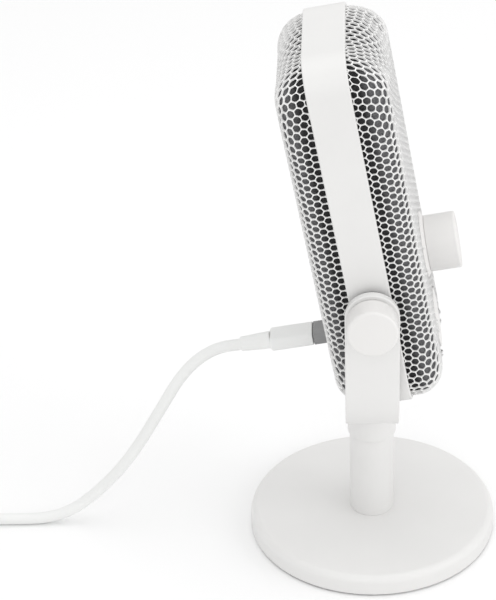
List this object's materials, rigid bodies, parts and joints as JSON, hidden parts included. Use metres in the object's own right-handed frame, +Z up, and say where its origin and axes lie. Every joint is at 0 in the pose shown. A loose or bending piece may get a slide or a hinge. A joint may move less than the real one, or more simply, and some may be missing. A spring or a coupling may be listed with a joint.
{
  "type": "desktop microphone",
  "caption": "White desktop microphone: perforated head in a U yoke on a short pole and round base, with a front dial, a mute button and a USB lead.",
  "frame": {"origin": "on the desk, at the centre of the round base's underside", "axes": "+Z up along the pole; -Y towards the front of the microphone, where the dial is; +X to the microphone's left-hand side as its front looks out, along the tilt pivots"},
  "size_m": [0.1335, 0.316, 0.2389],
  "materials": {
    "white_paint": "satin white paint",
    "white_grille": "satin white paint on perforated sheet",
    "white_plastic": "satin moulded",
    "white_lead": "matte",
    "grey_plastic": "matte",
    "dark_foam": "open foam",
    "dark_rubber": "matte",
    "black_plastic": "moulded",
    "board_green": "solder mask",
    "steel": "plain",
    "brass": "turned",
    "nylon": "moulded"
  },
  "bodies": {
    "stand": {"foot_pad": "dark_rubber", "base_plate": "white_paint", "base_bolt": "steel", "base_washer": "steel", "pole": "white_paint", "thread_stud": "steel", "collar_washer": "dark_rubber", "yoke_boss": "white_paint", "yoke": "white_paint", "yoke_screw": "steel", "left_arm_bush": "nylon", "right_arm_bush": "nylon", "usb_cord": "white_lead", "cord_coil": "white_lead", "cord_tie": "dark_rubber", "cord_tail": "white_lead", "far_plug_body": "white_lead", "far_plug_shell": "steel"},
    "head": {"band_frame": "white_paint", "front_grille": "white_grille", "rear_grille": "white_grille", "front_liner": "dark_foam", "rear_liner": "dark_foam", "chassis": "black_plastic", "capsule": "brass", "capsule_mount": "dark_rubber", "main_board": "board_green", "board_screw_1": "steel", "board_screw_2": "steel", "board_screw_3": "steel", "board_screw_4": "steel", "control_board": "board_green", "encoder": "steel", "mute_switch": "black_plastic", "dial_bezel": "white_plastic", "button_surround": "dark_rubber", "usb_socket": "steel", "headphone_jack": "black_plastic", "port_plate": "white_plastic", "left_pivot_insert": "brass", "right_pivot_insert": "brass", "left_friction_washer": "dark_rubber", "right_friction_washer": "dark_rubber", "plug_shell": "steel", "plug_collar": "grey_plastic", "plug_overmould": "white_lead", "strain_relief": "white_lead"},
    "gain_dial": {"dial_cap": "white_plastic", "dial_face": "white_plastic", "dial_shaft": "steel"},
    "mute_button": {"mute_cap": "white_plastic", "mute_plunger": "black_plastic"},
    "left_knob_body": {"left_knob": "white_plastic", "left_knob_stud": "steel"},
    "right_knob_body": {"right_knob": "white_plastic", "right_knob_stud": "steel"}
  },
  "joints": [
    {"name": "head_tilt", "type": "hinge", "parent": "stand", "child": "head", "pos_m": [0, 0, 0.13], "axis": [1, 0, 0], "range_deg": [-30, 30]},
    {"name": "dial_turn", "type": "hinge", "parent": "head", "child": "gain_dial", "pos_m": [0, -0.02271, 0.14131], "axis": [0, -0.9856, 0.1693], "continuous": true},
    {"name": "mute_press", "type": "slide", "parent": "head", "child": "mute_button", "axis": [0, 0.9856, -0.1693], "range_m": [0, 0.0006], "stiffness_N_per_m": 1000, "springref_m": -0.0005},
    {"name": "left_knob_turn", "type": "hinge", "parent": "head", "child": "left_knob_body", "pos_m": [-0.04, 0, 0.13], "axis": [1, 0, 0], "continuous": true},
    {"name": "right_knob_turn", "type": "hinge", "parent": "head", "child": "right_knob_body", "pos_m": [0.04, 0, 0.13], "axis": [1, 0, 0], "continuous": true}
  ]
}
